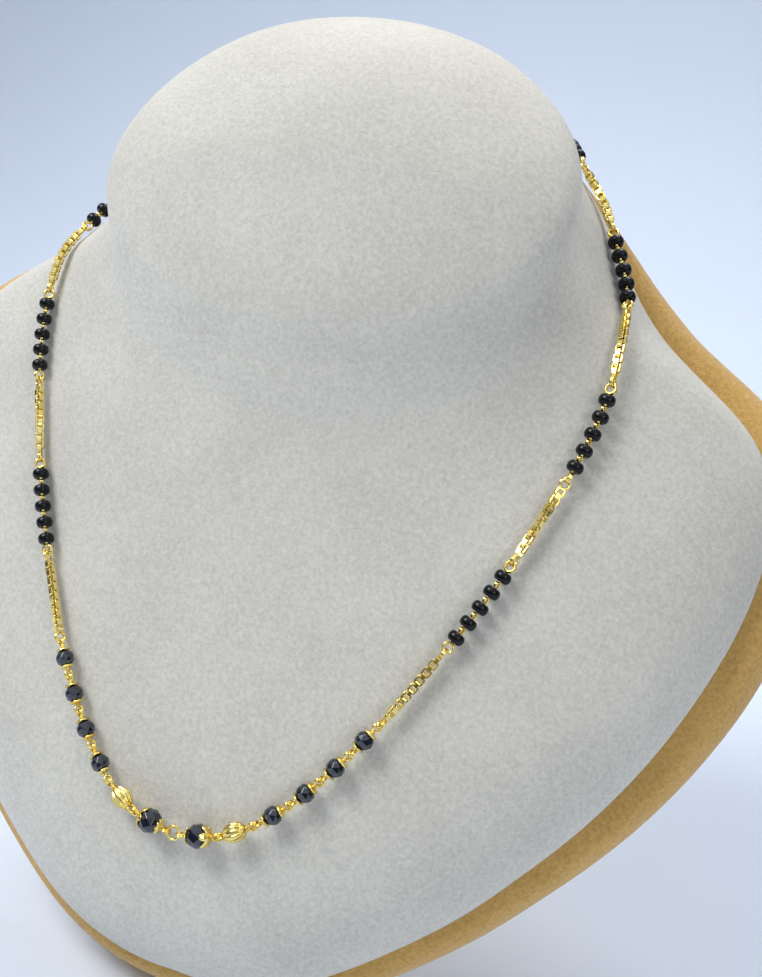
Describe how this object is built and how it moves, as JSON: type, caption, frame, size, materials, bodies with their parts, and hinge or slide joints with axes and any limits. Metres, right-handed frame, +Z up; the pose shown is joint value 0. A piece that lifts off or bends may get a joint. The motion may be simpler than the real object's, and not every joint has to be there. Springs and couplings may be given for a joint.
{
  "type": "mangalsutra necklace on a neck bust",
  "caption": "Gold mangalsutra necklace of black bead strings, box chain links and faceted beads, closed round a pale suede neck bust that leans back on a wedge foot.",
  "frame": {"origin": "on the table, under the middle of the whole thing's box", "axes": "+X across the bust to its right side as a viewer sees it, +Y to the back, +Z up"},
  "size_m": [0.2022, 0.1104, 0.1933],
  "materials": {
    "pale_suede": "pale warm grey suede cover",
    "tan_suede": "tan suede over a padded edge",
    "foot_board": "tan suede over board",
    "gold": "polished yellow gold",
    "black_glass": "glossy opaque black",
    "faceted_glass": "glossy faceted blue black"
  },
  "bodies": {
    "root": {"bust_front": "pale_suede", "bust_board": "tan_suede", "bust_foot": "foot_board", "centre_ring": "gold", "clasp": "gold", "right_big_bead": "faceted_glass", "left_big_bead": "faceted_glass", "right_big_pin": "gold", "left_big_pin": "gold", "right_ribbed_bead": "gold", "left_ribbed_bead": "gold", "right_small_bead_1": "faceted_glass", "right_small_bead_2": "faceted_glass", "right_small_bead_3": "faceted_glass", "right_small_bead_4": "faceted_glass", "left_small_bead_1": "faceted_glass", "left_small_bead_2": "faceted_glass", "left_small_bead_3": "faceted_glass", "left_small_bead_4": "faceted_glass", "right_small_pin_1": "gold", "right_small_pin_2": "gold", "right_small_pin_3": "gold", "right_small_pin_4": "gold", "left_small_pin_1": "gold", "left_small_pin_2": "gold", "left_small_pin_3": "gold", "left_small_pin_4": "gold", "right_box_chain_1": "gold", "right_box_chain_2": "gold", "right_box_chain_3": "gold", "right_box_chain_4": "gold", "right_box_chain_5": "gold", "left_box_chain_1": "gold", "left_box_chain_2": "gold", "left_box_chain_3": "gold", "left_box_chain_4": "gold", "left_box_chain_5": "gold", "right_bead_string_1": "black_glass", "right_bead_string_2": "black_glass", "right_bead_string_3": "black_glass", "right_bead_string_4": "black_glass", "right_bead_string_5": "black_glass", "left_bead_string_1": "black_glass", "left_bead_string_2": "black_glass", "left_bead_string_3": "black_glass", "left_bead_string_4": "black_glass", "left_bead_string_5": "black_glass", "right_string_wire_1": "gold", "right_string_wire_2": "gold", "right_string_wire_3": "gold", "right_string_wire_4": "gold", "right_string_wire_5": "gold", "left_string_wire_1": "gold", "left_string_wire_2": "gold", "left_string_wire_3": "gold", "left_string_wire_4": "gold", "left_string_wire_5": "gold"}
  },
  "joints": []
}
